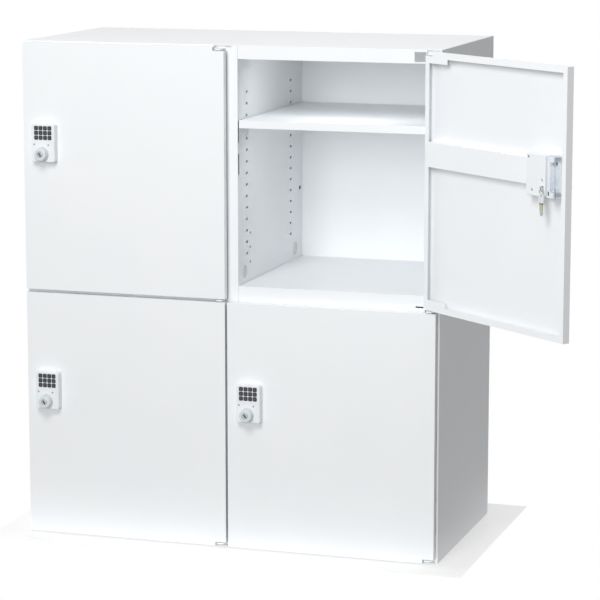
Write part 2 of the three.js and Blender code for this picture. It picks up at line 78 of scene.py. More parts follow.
def linear(hex_colour: str) -> tuple[float, float, float, float]:
    """Turn an sRGB hex colour into linear RGBA.

    Args:
        hex_colour: six hex digits after a hash sign.

    Returns:
        Linear red, green, blue and an alpha of one.
    """
    values = [int(hex_colour[i : i + 2], 16) / 255 for i in (1, 3, 5)]
    red, green, blue = (v / 12.92 if v <= 0.04045 else ((v + 0.055) / 1.055) ** 2.4 for v in values)
    return (red, green, blue, 1.0)


def add_node(
    tree: bpy.types.NodeTree, kind: str, settings: dict | None = None, links: dict | None = None
) -> bpy.types.Node:
    """Add one shader node, set it up and link its inputs.

    Args:
        tree: the material's node tree.
        kind: the node's type name.
        settings: attribute names, or input names or indices, with their values.
        links: input names or indices, with the output sockets that feed them.

    Returns:
        The new node.
    """
    node = tree.nodes.new(kind)
    for key, value in (settings or {}).items():
        if isinstance(key, str) and hasattr(node, key):
            setattr(node, key, value)
        else:
            node.inputs[key].default_value = value
    for key, socket in (links or {}).items():
        tree.links.new(socket, node.inputs[key])
    return node


@dataclass(frozen=True)
class Finish:
    """A surface finish: a base colour with slow and fine variation, gloss and a bump grain.

    Args:
        name: the real material and how its surface was made.
        colour: sRGB hex of the clean surface.
        shade: sRGB hex of the same surface where it is a little soiled or thinner.
        metallic: one for bare metal, nought for paint and plastic.
        roughness: mean roughness of the shader.
        grain_mm: width of one grain of the bump, in millimetres.
        bump_mm: height of the grain, in millimetres.
        patch_mm: width of the slow colour patches, in millimetres.
        coat: clear top layer, nought to one.
        stretch: how much longer the grain is along Z than across, for brushed metal.
        spread: how far the roughness strays to each side of its mean.
        glow: white light given off, for a panel that is lit from behind.
    """

    name: str
    colour: str
    shade: str
    metallic: float = 0.0
    roughness: float = 0.4
    grain_mm: float = 3.0
    bump_mm: float = 0.02
    patch_mm: float = 160.0
    coat: float = 0.0
    stretch: float = 1.0
    spread: float = 0.05
    glow: float = 0.0

    def material(self) -> bpy.types.Material:
        """Make the material, or return it if it was made before."""
        known = bpy.data.materials.get(self.name)
        if known:
            return known
        material = bpy.data.materials.new(self.name)
        material.use_nodes = True
        tree = material.node_tree
        tree.nodes.clear()
        place = add_node(tree, "ShaderNodeTexCoord").outputs["Object"]
        stretched = add_node(
            tree, "ShaderNodeMapping", {"Scale": (1.0, 1.0, 1.0 / self.stretch)}, {"Vector": place}
        ).outputs["Vector"]
        slow = {"Scale": 1 / (self.patch_mm * MM), "Detail": 3.0, "Roughness": 0.55}
        patches = add_node(tree, "ShaderNodeTexNoise", slow, {"Vector": place}).outputs["Fac"]
        fine = {"Scale": 1 / (self.grain_mm * MM), "Detail": 2.0, "Roughness": 0.5}
        grain = add_node(tree, "ShaderNodeTexNoise", fine, {"Vector": stretched}).outputs["Fac"]
        tones = {"data_type": "RGBA", 6: linear(self.colour), 7: linear(self.shade)}
        mix = add_node(tree, "ShaderNodeMix", tones, {0: patches})
        limits = {"To Min": self.roughness - self.spread, "To Max": self.roughness + self.spread}
        gloss = add_node(
            tree, "ShaderNodeMapRange", {"From Min": 0.3, "From Max": 0.7, **limits}, {"Value": grain}
        ).outputs["Result"]
        bump = add_node(
            tree, "ShaderNodeBump", {"Strength": 0.6, "Distance": self.bump_mm * MM}, {"Height": grain}
        ).outputs["Normal"]
        constants = {"Metallic": self.metallic, "Coat Weight": self.coat, "Coat Roughness": 0.25}
        if self.glow:
            constants |= {"Emission Color": (1.0, 1.0, 1.0, 1.0), "Emission Strength": self.glow}
        feeds = {"Base Color": mix.outputs[2], "Roughness": gloss, "Normal": bump}
        shader = add_node(tree, "ShaderNodeBsdfPrincipled", constants, feeds)
        add_node(tree, "ShaderNodeOutputMaterial", {}, {"Surface": shader.outputs["BSDF"]})
        return material


# Polyester powder coat over sheet steel: satin white, with the faint orange-peel ripple of a
# sprayed and stoved film. The real ripple is under a millimetre wide, so it is drawn at three.
POWDER_COAT = Finish(
    "powder_coat_white_steel", "#F4F6F8", "#EFF2F4", roughness=0.42, grain_mm=3.0, bump_mm=0.012
)
# ABS injected against a spark-eroded mould wall: an even, fine satin texture.
LOCK_ABS = Finish(
    "abs_moulded_white", "#F0F3F5", "#E9EDF0", roughness=0.38, grain_mm=1.6, bump_mm=0.01, patch_mm=40
)
# Light grey ABS of the turning knob and the key's head: one step duller than the housing.
KNOB_ABS = Finish(
    "abs_moulded_pale_grey", "#DEE4E6", "#D3DADD", roughness=0.36, grain_mm=1.6, bump_mm=0.01, patch_mm=30
)
# Silicone rubber key caps: dark, soft highlights, a trace of finger shine.
KEY_SILICONE = Finish(
    "silicone_rubber_dark", "#2C2D33", "#24252A", roughness=0.55, grain_mm=1.2, bump_mm=0.01, patch_mm=9,
    spread=0.1,
)
# Zinc plate on pressed steel: bluish, bright, with drawn streaks.
ZINC = Finish(
    "zinc_plated_steel", "#DADEE2", "#C6CBD1", metallic=0.8, roughness=0.36, grain_mm=0.9, bump_mm=0.008,
    patch_mm=22, stretch=6, spread=0.1,
)
# Machined stainless face of the key cylinder.
STEEL = Finish(
    "stainless_turned_steel", "#B9BEC2", "#9EA4A9", metallic=1.0, roughness=0.28, grain_mm=0.7,
    bump_mm=0.006, patch_mm=8,
)
# Brass key blade, a little tarnished to olive.
KEY_BRASS = Finish(
    "brass_milled_tarnished", "#B6B798", "#9C9D7A", metallic=1.0, roughness=0.34, grain_mm=0.8, bump_mm=0.01,
    patch_mm=6,
)
# Bright nickel plate on the key's tip, its shoulder and its split ring.
NICKEL = Finish(
    "nickel_plated_brass", "#BFC3C0", "#9DA29C", metallic=1.0, roughness=0.26, grain_mm=0.8, bump_mm=0.008,
    patch_mm=7,
)
# Near-black: painted shade on thin dark sheets set in keyholes, slots, screw drives and in place of wall
# holes, where only shade falls; also the key's own dark collar.
RECESS_SHADE_AND_COLLAR = Finish(
    "painted_recess_shade_and_dark_collar", "#2A2C2F", "#1E2022", roughness=0.7, grain_mm=1.0, bump_mm=0.01, patch_mm=10
)
# Legend ink on the keys: pale grey, matt.
KEY_PRINT = Finish(
    "legend_ink_pale_grey", "#66686E", "#5C5E64", roughness=0.6, grain_mm=0.6, bump_mm=0.004, patch_mm=4
)
# Smoked acrylic lens of the lock's indicator, with a polished face.
LENS = Finish(
    "acrylic_lens_grey", "#A9AEB1", "#9DA2A6", roughness=0.2, grain_mm=1.0, bump_mm=0.002, patch_mm=5,
    coat=0.4,
)
# Polyethylene hole plugs: waxy, a shade greyer than the paint round them.
PLUG_PE = Finish(
    "polyethylene_moulded_white", "#D9DDDC", "#CCD1D0", roughness=0.45, grain_mm=1.8, bump_mm=0.01,
    patch_mm=20,
)
# Floor: a pale seamless opal sheet lit from below, so that hardly a shadow stays on it.
FLOOR_OPAL = Finish(
    "opal_acrylic_lit_from_below", "#CBCBCB", "#C8C8C8", roughness=0.9, grain_mm=20, bump_mm=0.01,
    patch_mm=900, glow=0.42,
)


# ---- Surfaces ----------------------------------------------------------------------------


class Plane(Enum):
    """Which axes an outline lies in and which axis it is carried along."""

    XZ = (0, 2, 1)
    YZ = (1, 2, 0)


def rounded_outline(corners: list[tuple[float, float, float]], steps: int = ARC_STEPS) -> np.ndarray:
    """Outline of a polygon whose corners are arcs.

    Each corner gives way to an arc that touches both of its sides. With unit vectors a and b
    from the corner along its sides, the arc's centre lies on their bisector at the radius over
    the sine of half the angle, and its points turn evenly from one tangent point to the other.

    Args:
        corners: (u, v, radius) of each corner, anticlockwise.
        steps: points on each arc, less one.

    Returns:
        Array of (u, v) points.
    """
    table = np.array(corners, float)
    runs = []
    for i, (point, radius) in enumerate(zip(table[:, :2], table[:, 2])):
        if radius <= 0:
            runs.append(point[None])
            continue
        before = table[i - 1, :2] - point
        after = table[(i + 1) % len(table), :2] - point
        before, after = before / np.linalg.norm(before), after / np.linalg.norm(after)
        half = math.acos(np.clip(before @ after, -1, 1)) / 2
        bisector = (before + after) / np.linalg.norm(before + after)
        centre = point + bisector * radius / math.sin(half)
        start = point + before * radius / math.tan(half) - centre
        convex = math.copysign(1.0, after[0] * before[1] - after[1] * before[0])
        angles = convex * (math.pi - 2 * half) * np.linspace(0, 1, steps + 1)
        cos, sin = np.cos(angles), np.sin(angles)
        arc = np.stack([start[0] * cos - start[1] * sin, start[0] * sin + start[1] * cos], 1)
        runs.append(centre + arc)
    return np.concatenate(runs)


def rectangle(
    x0: float, x1: float, z0: float, z1: float, radius: float = 0.0, steps: int = ARC_STEPS
) -> np.ndarray:
    """Outline of a rectangle with equal round corners, anticlockwise."""
    corners = [(x0, z0, radius), (x1, z0, radius), (x1, z1, radius), (x0, z1, radius)]
    return rounded_outline(corners, steps)


def circle(u: float, v: float, radius: float, steps: int = 32) -> np.ndarray:
    """Points of a circle, anticlockwise: centre plus radius times (cos, sin) of even angles."""
    angles = 2 * np.pi * np.arange(steps) / steps
    return np.stack([u + radius * np.cos(angles), v + radius * np.sin(angles)], 1)


def edge_profile(thickness: float, radius: float, steps: int = 2) -> np.ndarray:
    """Side of a plate with both rims rounded.

    The inset falls from the radius to nought over a quarter circle, stays there along the
    side, and rises again over a second quarter circle.

    Args:
        thickness: depth of the plate.
        radius: rounding of both rims.
        steps: steps of each quarter circle.

    Returns:
        Array of (inset, depth) from the near face to the far face.
    """
    angles = np.linspace(0, np.pi / 2, steps + 1)
    near = np.stack([radius * (1 - np.sin(angles)), radius * (1 - np.cos(angles))], 1)
    far = np.stack([near[::-1, 0], thickness - near[::-1, 1]], 1)
    return np.concatenate([near, far])


def mitres(outline: np.ndarray) -> np.ndarray:
    """Inward mitre of each point: the sum of its two edge normals over one plus their dot product.

    Args:
        outline: (u, v) points, anticlockwise.

    Returns:
        The way that each point moves for an inset of one.
    """
    edges = np.roll(outline, -1, 0) - outline
    edges /= np.linalg.norm(edges, axis=1, keepdims=True)
    normals = np.stack([-edges[:, 1], edges[:, 0]], 1)
    previous = np.roll(normals, 1, 0)
    return (previous + normals) / (1 + np.sum(previous * normals, 1, keepdims=True))


def ring(outline: np.ndarray, inset: float, level: float, plane: Plane = Plane.XZ) -> np.ndarray:
    """An outline moved inwards along its mitres.

    Args:
        outline: (u, v) points, anticlockwise.
        inset: how far it moves inwards.
        level: where it lies across its plane.
        plane: the outline's plane.

    Returns:
        Array of (x, y, z) points.
    """
    u, v, w = plane.value
    points = np.empty((len(outline), 3))
    points[:, [u, v]] = outline + inset * mitres(outline)
    points[:, w] = level
    return points


def rounded_rim(back: float, face: float, radius: float, foot: float = 0.4, steps: int = 4) -> np.ndarray:
    """Profile of a moulded cap: a small chamfer at its foot, straight sides, a quarter-round rim.

    Args:
        back: level of the closed face.
        face: level of the show face.
        radius: radius of the rim.
        foot: chamfer at the foot.
        steps: steps of the quarter round.

    Returns:
        (inset, level) from back to face.
    """
    way = math.copysign(1.0, face - back)
    angles = np.linspace(0, np.pi / 2, steps + 1)
    rim = np.stack([radius * (1 - np.cos(angles)), face - way * radius * (1 - np.sin(angles))], 1)
    return np.concatenate([[[foot, back], [0.0, back + way * foot]], rim])


def well(face: float, floor: float, chamfer: float = 0.3) -> np.ndarray:
    """Profile of a blind hole: a small chamfer at its mouth, then straight walls to its floor."""
    way = math.copysign(1.0, floor - face)
    return np.array([[-chamfer, face], [0.0, face + way * chamfer], [0.0, floor]])


def side_quads(index: np.ndarray) -> list[tuple[int, ...]]:
    """Quads between neighbouring rings of point numbers (rings, points on a ring)."""
    near, far = index[:-1], index[1:]
    quads = np.stack([near, np.roll(near, -1, 1), np.roll(far, -1, 1), far], -1).reshape(-1, 4)
    return [tuple(quad) for quad in quads.tolist()]


def flat_region(points: np.ndarray, rims: list[np.ndarray]) -> list[tuple[int, ...]]:
    """Triangles of the flat region inside the first rim and outside the others.

    Args:
        points: all points of the solid.
        rims: point numbers of each rim.

    Returns:
        Three point numbers for each triangle.
    """
    loops = [[Vector(v) for v in points[rim].tolist()] for rim in rims]
    order = np.concatenate(rims)
    return [tuple(order[list(triangle)].tolist()) for triangle in tessellate_polygon(loops)]


@dataclass
class Place:
    """Where local millimetres lie in the locker's frame: a turn about Z, then a shift."""

    x: float = 0.0
    y: float = 0.0
    z: float = 0.0
    turn: float = 0.0

    def carry(self, points: np.ndarray) -> np.ndarray:
        """Turn points about Z, shift them and change millimetres to metres.

        Args:
            points: local (x, y, z) points in millimetres.

        Returns:
            The points in the locker's frame, in metres.
        """
        cos, sin = math.cos(self.turn), math.sin(self.turn)
        x, y, z = points.T
        moved = np.stack([x * cos - y * sin + self.x, x * sin + y * cos + self.y, z + self.z], 1)
        return moved * MM


@dataclass
class Shape:
    """Closed shells in local millimetres that become one piece."""

    place: Place
    points: list[np.ndarray] = field(default_factory=list)
    faces: list[tuple[int, ...]] = field(default_factory=list)
    count: int = 0

    def add(self, points: np.ndarray, faces: list[tuple[int, ...]]) -> Shape:
        """Take in one shell.

        Args:
            points: its points.
            faces: its faces, as numbers of its own points.

        Returns:
            This shape.
        """
        self.faces.extend(tuple(int(i) + self.count for i in face) for face in faces)
        self.points.append(points)
        self.count += len(points)
        return self

    def grid(self, grid: np.ndarray) -> Shape:
        """Take in closed rings: neighbours joined by quads, the first and the last capped.

        Args:
            grid: points (rings, points on a ring, xyz).

        Returns:
            This shape.
        """
        index = np.arange(grid.shape[0] * grid.shape[1]).reshape(grid.shape[:2])
        caps = [tuple(index[0][::-1].tolist()), tuple(index[-1].tolist())]
        return self.add(grid.reshape(-1, 3), side_quads(index) + caps)

    def sweep(
        self, outline: np.ndarray, profile: np.ndarray, start: float, plane: Plane = Plane.XZ
    ) -> Shape:
        """Carry a profile of (inset, depth) round an outline, from a start depth."""
        return self.grid(np.stack([ring(outline, inset, start + depth, plane) for inset, depth in profile]))

    def pierced(
        self, outline: np.ndarray, profile: np.ndarray, holes: list[tuple[np.ndarray, np.ndarray]],
        plane: Plane = Plane.XZ,
    ) -> Shape:
        """A solid whose last face is pierced by blind holes.

        The sides are the outline carried along the profile. The face at their end is the flat
        region between that last ring and the first ring of each hole, in triangles, and each
        hole is its own outline carried inwards and closed by a floor.

        Args:
            outline: outline of the solid.
            profile: (inset, level) from its closed face to its pierced face.
            holes: outline and (inset, level) profile of each hole, from the face inwards.
            plane: plane of the outlines.

        Returns:
            This shape.
        """
        runs, faces, rims, count = [], [], [], 0
        for edge, steps in [(outline, profile), *holes]:
            index = np.arange(len(steps) * len(edge)).reshape(len(steps), len(edge)) + count
            faces += side_quads(index)
            first = not rims
            faces.append(tuple((index[0] if first else index[-1]).tolist()))
            rims.append(index[-1] if first else index[0])
            runs.append(np.concatenate([ring(edge, inset, level, plane) for inset, level in steps]))
            count += index.size
        points = np.concatenate(runs)
        return self.add(points, faces + flat_region(points, rims))

    def drilled(
        self, outline: np.ndarray, start: float, thickness: float, radius: float, holes: list[np.ndarray],
        plane: Plane = Plane.XZ,
    ) -> Shape:
        """A flat plate with rounded rims and through-holes.

        The outline and each hole are carried along the same edge profile, the holes with the
        inset turned outwards, and both flat faces are the regions between their end rings.

        Args:
            outline: outline of the plate.
            start: level of the near face.
            thickness: distance to the far face.
            radius: rounding of every rim.
            holes: outline of each hole.
            plane: plane of the outlines.

        Returns:
            This shape.
        """
        runs, faces, ends, count = [], [], [[], []], 0
        profile = edge_profile(thickness, radius)
        for edge, way in [(outline, 1.0), *((hole, -1.0) for hole in holes)]:
            index = np.arange(len(profile) * len(edge)).reshape(len(profile), len(edge)) + count
            faces += side_quads(index)
            ends[0].append(index[0])
            ends[1].append(index[-1])
            rings = [ring(edge, way * inset, start + depth, plane) for inset, depth in profile]
            runs.append(np.concatenate(rings))
            count += index.size
        points = np.concatenate(runs)
        return self.add(points, faces + [face for rims in ends for face in flat_region(points, rims)])

    def plate(
        self, outline: np.ndarray, start: float, thickness: float, radius: float = 0.3,
        plane: Plane = Plane.XZ,
    ) -> Shape:
        """A flat plate with rounded rims."""
        return self.sweep(outline, edge_profile(thickness, radius), start, plane)

    def tube(self, path: np.ndarray, radius: float, around: int = 10) -> Shape:
        """A round bar along an open path.

        Each ring is the path's point plus the radius times cos and sin of even angles along two
        normals: the tangent crossed with the world axis that the path follows least, and the
        tangent crossed with that.

        Args:
            path: points along the middle of the bar.
            radius: radius of the bar.
            around: points on each ring.

        Returns:
            This shape.
        """
        step = np.gradient(path, axis=0)
        tangent = step / np.linalg.norm(step, axis=1, keepdims=True)
        guide = np.eye(3)[np.abs(tangent).max(0).argmin()]
        first = np.cross(tangent, guide)
        first /= np.linalg.norm(first, axis=1, keepdims=True)
        second = np.cross(tangent, first)
        angles = 2 * np.pi * np.arange(around) / around
        cos, sin = np.cos(angles)[None, :, None], np.sin(angles)[None, :, None]
        turn = cos * first[:, None] + sin * second[:, None]
        return self.grid(path[:, None] + radius * turn)

    def make(
        self, name: str, finish: Finish, body: str, slot: str, replaced: tuple[str, ...] = ()
    ) -> bpy.types.Object:
        """Turn the shells into a finished piece.

        Args:
            name: the piece's name.
            finish: its surface finish.
            body: the CAD body that it rides on.
            slot: the record's material slot; not used.
            replaced: CAD nodes that it stands for.

        Returns:
            The new object, at the origin, with its place in its mesh.
        """
        mesh = bpy.data.meshes.new(name)
        mesh.from_pydata(self.place.carry(np.concatenate(self.points)), [], self.faces)
        outward(mesh)
        return finish_piece(mesh, name, finish, body, replaced)


def outward(mesh: bpy.types.Mesh, merge: float = 0.0, flatten: float = 0.0) -> None:
    """Turn a mesh's faces outwards.

    Args:
        mesh: the mesh to change.
        merge: distance in metres within which points become one, or nought.
        flatten: angle in radians under which neighbouring faces become one, or nought.
    """
    work = bmesh.new()
    work.from_mesh(mesh)
    if merge:
        bmesh.ops.remove_doubles(work, verts=work.verts, dist=merge)
    if flatten:
        bmesh.ops.dissolve_limit(work, angle_limit=flatten, verts=work.verts, edges=work.edges)
    bmesh.ops.recalc_face_normals(work, faces=work.faces)
    work.to_mesh(mesh)
    work.free()


def finish_piece(
    mesh: bpy.types.Mesh, name: str, finish: Finish, body: str, replaced: tuple[str, ...] = ()
) -> bpy.types.Object:
    """Smooth a mesh by angle, dress it and hang it on its body.

    Args:
        mesh: the finished mesh.
        name: the piece's name.
        finish: its surface finish.
        body: the CAD body that it rides on.
        replaced: CAD nodes that it stands for.

    Returns:
        The new object.
    """
    mesh.shade_smooth()
    mesh.set_sharp_from_angle(angle=FOLD_ANGLE)
    mesh.materials.append(finish.material())
    piece = bpy.data.objects.new(name, mesh)
    bpy.context.scene.collection.objects.link(piece)
    weigh = piece.modifiers.new("even_normals", "WEIGHTED_NORMAL")
    weigh.keep_sharp = True
    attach(piece, body)
    if replaced:
        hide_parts(*replaced)
    LOG.info("%s on %s, %d faces", name, body, len(mesh.polygons))
    return piece


def coated(node: str, body: str, width: float) -> bpy.types.Object:
    """A CAD node's own shape, powder coated, with its folded edges rounded.

    Args:
        node: the CAD node to copy and stand for.
        body: the CAD body that it rides on.
        width: width of the rounding in millimetres.

    Returns:
        The new object, named after its node.
    """
    mesh = FRAME["nodes"][node].data.copy()
    mesh.materials.clear()
    outward(mesh, merge=WELD_DISTANCE, flatten=FLAT_ANGLE)
    piece = finish_piece(mesh, f"coated_{node}", POWDER_COAT, body, (node,))
    bevel = piece.modifiers.new("rounded_folds", "BEVEL")
    bevel.width, bevel.segments = width * MM, 2
    bevel.limit_method, bevel.angle_limit = "ANGLE", FOLD_ANGLE
    piece.modifiers.move(1, 0)
    return piece


# ---- Cabinet -----------------------------------------------------------------------------


@dataclass
class Cabinet:
    """The sheet-steel body: outer panels, front frame, compartments, shelves and hinge brackets."""

    outside: tuple[str, ...] = (
        "left_side_panel", "right_side_panel", "top_panel", "bottom_panel", "back_panel"
    )
    liners: tuple[str, ...] = ("left_liner", "centre_partition", "right_liner")
    rails: tuple[str, ...] = ("header", "divider", "lower_floor")
    outer_fold: float = 0.8
    inner_fold: float = 0.4

    def build(self) -> None:
        """Round the folds of every sheet of the body."""
        inner = list(self.liners)
        for column in ("left", "right"):
            inner += [f"{column}_{rail}" for rail in self.rails]
            inner += [f"{tier}_{column}_shelf" for tier in ("top", "bottom")]
            inner += [f"{column}_{level}_hinge_bracket" for level in ("bottom", "middle", "top")]
        for nodes, fold in ((self.outside, self.outer_fold), (inner, self.inner_fold)):
            for node in nodes:
                coated(node, "cabinet", fold)


@dataclass
class Fittings:
    """Small parts on the inner walls of the compartments, in millimetres."""

    wall_behind_rail: float = 0.6
    plug_radius: float = 14.0
    plug_proud: float = 1.8
    plugs_from_front: tuple[float, float] = (39.0, 378.0)
    plug_above_floor: float = 25.0
    hole_radius: float = 2.5
    holes_from_front: float = 77.0
    holes_above_floor: tuple[float, ...] = (40.0, 71.0, 101.0)
    vent_from_front: float = 414.0
    vent_above_floor: float = 154.0
    vent_half: tuple[float, float] = (6.0, 4.0)
    slots_from_front: tuple[float, float] = (58.0, 350.0)
    clip_half: float = 6.0
    clip_sheet: float = 1.5
    clip_reach: float = 11.0
    clip_drop: float = 20.0
    rivet_radius: float = 3.4
    rivet_proud: float = 1.1
    rivet_inset: float = 14.0
    rivet_rows: int = 8
    # How far the dark discs of painted hole shade sink into the wall and stand off it.
    shade_disc_sunk: float = 0.2
    shade_disc_proud: float = 0.12

    def walls(self) -> list[tuple[str, float, float]]:
        """Find the inner walls.

        Returns:
            The column of each wall, the X of its face and which way the face looks.
        """
        found = []
        for column in ("left", "right"):
            low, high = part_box(f"{column}_header")
            found.append((column, low.x / MM - self.wall_behind_rail, 1.0))
            found.append((column, high.x / MM + self.wall_behind_rail, -1.0))
        return found

    def rivets(self) -> None:
        """Blind rivets that hold the back panel: a column at each side and one down the middle."""
        low, high = (np.array(corner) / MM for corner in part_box("back_panel"))
        xs = (low[0] + self.rivet_inset, 0.0, high[0] - self.rivet_inset)
        zs = np.linspace(low[2] + self.rivet_inset, high[2] - self.rivet_inset, self.rivet_rows)
        heads = Shape(Place())
        dome = rounded_rim(high[1] - 0.3, high[1] + self.rivet_proud, 0.9, 0.1)
        for x in xs:
            for z in zs:
                heads.sweep(circle(float(x), float(z), self.rivet_radius, 20), dome, 0.0)
        heads.make("back_rivets", POWDER_COAT, "cabinet", "powder_coat")

    def clip(self, shape: Shape, face: float, way: float, y: float, under: float) -> None:
        """One shelf clip: a folded L against the wall, its ledge under the shelf's edge.

        Args:
            shape: takes the clip.
            face: X of the wall's face.
            way: which way the face looks, plus or minus one.
            y: middle of the clip.
            under: level of the shelf's underside.
        """
        ledge, sheet = under - self.clip_sheet - 0.1, self.clip_sheet
        bends = [
            (0.1, under - self.clip_drop, 0.4),
            (sheet, under - self.clip_drop, 0.4),
            (sheet, ledge, 0.8),
            (self.clip_reach, ledge, 0.4),
            (self.clip_reach, under - 0.1, 0.4),
            (0.1, under - 0.1, 0.8),
        ]
        outline = rounded_outline(bends, 2)
        outline[:, 0] = face + way * outline[:, 0]
        shape.plate(outline[:: int(way)], y - self.clip_half, 2 * self.clip_half, 0.2)

    def build(self) -> None:
        """Plugs, dark discs of painted shade in place of the screw holes and vents of the upper compartments,
        rivets, and four clips under each shelf.
        """
        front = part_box("centre_partition")[0].y / MM
        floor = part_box("right_divider")[1].z / MM
        origin = Place()
        plugs, holes, clips = Shape(origin), Shape(origin), Shape(origin)
        for column, face, way in self.walls():
            for setback in self.plugs_from_front:
                outline = circle(front + setback, floor + self.plug_above_floor, self.plug_radius, 40)
                cap = rounded_rim(face - way * 0.3, face + way * self.plug_proud, 1.2, 0.1, 4)
                plugs.sweep(outline, cap, 0.0, Plane.YZ)
            # Painted shade: the holes and the vent are not cut; thin dark discs stand a hair proud of the
            # wall where their shade would be.
            low = min(face - way * self.shade_disc_sunk, face + way * self.shade_disc_proud)
            sheet = self.shade_disc_sunk + self.shade_disc_proud
            for height in self.holes_above_floor:
                outline = circle(front + self.holes_from_front, floor + height, self.hole_radius, 16)
                holes.plate(outline, low, sheet, 0.05, Plane.YZ)
            y, z = front + self.vent_from_front, floor + self.vent_above_floor
            half_y, half_z = self.vent_half
            vent = rectangle(y - half_y, y + half_y, z - half_z, z + half_z, half_z * 0.95, 5)
            holes.plate(vent, low, sheet, 0.05, Plane.YZ)
            for tier in ("top", "bottom"):
                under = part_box(f"{tier}_{column}_shelf")[0].z / MM
                for setback in self.slots_from_front:
                    self.clip(clips, face, way, front + setback, under)
        self.rivets()
        plugs.make("hole_plugs", PLUG_PE, "cabinet", "lock_plastic")
        holes.make("painted_hole_shade", RECESS_SHADE_AND_COLLAR, "cabinet", "powder_coat")
        clips.make("shelf_clips", ZINC, "cabinet", "plated_steel")


# ---- Places on the doors -----------------------------------------------------------------


@dataclass(frozen=True)
class Span:
    """Bounds of a piece about its door's pin, in millimetres, with the door's top at z = 0."""

    x0: float
    y0: float
    z0: float
    x1: float
    y1: float
    z1: float

    @property
    def middle(self) -> tuple[float, float]:
        """Middle in X and Z."""
        return (self.x0 + self.x1) / 2, (self.z0 + self.z1) / 2

    def across(self, share: float) -> float:
        """X at a share of the way from the hinge side to the free side."""
        return self.x1 + share * (self.x0 - self.x1)

    def down(self, share: float) -> float:
        """Z at a share of the way from top to bottom."""
        return self.z1 + share * (self.z0 - self.z1)


def joint(name: str) -> dict:
    """The record's entry for one joint."""
    return next(entry for entry in FRAME["joints"] if entry["name"] == name)


def local_span(kind: str, pattern: str = "bottom_right") -> Span:
    """Find the bounds of a closed door's node about that door's pin.

    Args:
        kind: the node's name after its door's.
        pattern: the door to measure.

    Returns:
        Its bounds in millimetres.
    """
    pin = np.array(joint(f"door_{pattern}")["pos_m"])
    origin = np.array([pin[0], pin[1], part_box(f"{pattern}_door")[1].z])
    low, high = (np.array(corner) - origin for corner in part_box(f"{pattern}_{kind}"))
    return Span(*(low / MM), *(high / MM))


DOOR = local_span("door")
HOUSING = local_span("lock_housing")
KEYPAD = local_span("keypad")
KNOB = local_span("lock_knob")
CASE = local_span("lock_case")
BOLT = local_span("latch_bolt")


@dataclass(frozen=True)
class DoorSite:
    """One of the four doors: its tier, its column and its resting place."""

    tier: str
    column: str

    @property
    def name(self) -> str:
        """Tier and column, as the nodes are named."""
        return f"{self.tier}_{self.column}"

    @property
    def body(self) -> str:
        """The CAD body of the door."""
        return f"door_{self.name}"

    @property
    def turn(self) -> float:
        """How far the door rests open: minus the lower limit of its hinge."""
        return -math.radians(joint(self.body)["range_deg"][0])

    @property
    def place(self) -> Place:
        """Door-local millimetres to the locker's frame."""
        x, y, _ = joint(self.body)["pos_m"]
        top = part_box(f"{self.name}_door")[1].z
        return Place(x / MM, y / MM, top / MM, self.turn)


# ---- Keypad lock -------------------------------------------------------------------------


def numeral(text: str, height: float) -> tuple[np.ndarray, list[tuple[int, ...]]]:
    """Outline figures as a thin closed solid, centred on the origin of X and Z, facing -Y.

    Args:
        text: the figure.
        height: height of a figure in millimetres.

    Returns:
        Points in millimetres and faces.
    """
    curve = bpy.data.curves.new("figure", "FONT")
    curve.body, curve.size, curve.extrude = text, height * FONT_SCALE, INK_HALF
    curve.align_x, curve.align_y, curve.resolution_u = "CENTER", "CENTER", 2
    holder = bpy.data.objects.new("figure", curve)
    bpy.context.scene.collection.objects.link(holder)
    bpy.context.view_layer.update()
    mesh = bpy.data.meshes.new_from_object(holder.evaluated_get(bpy.context.evaluated_depsgraph_get()))
    flat = np.empty(len(mesh.vertices) * 3)
    mesh.vertices.foreach_get("co", flat)
    flat = flat.reshape(-1, 3)
    faces = [tuple(polygon.vertices) for polygon in mesh.polygons]
    bpy.data.objects.remove(holder)
    bpy.data.meshes.remove(mesh)
    return np.stack([flat[:, 0], -flat[:, 2], flat[:, 1]], 1), faces


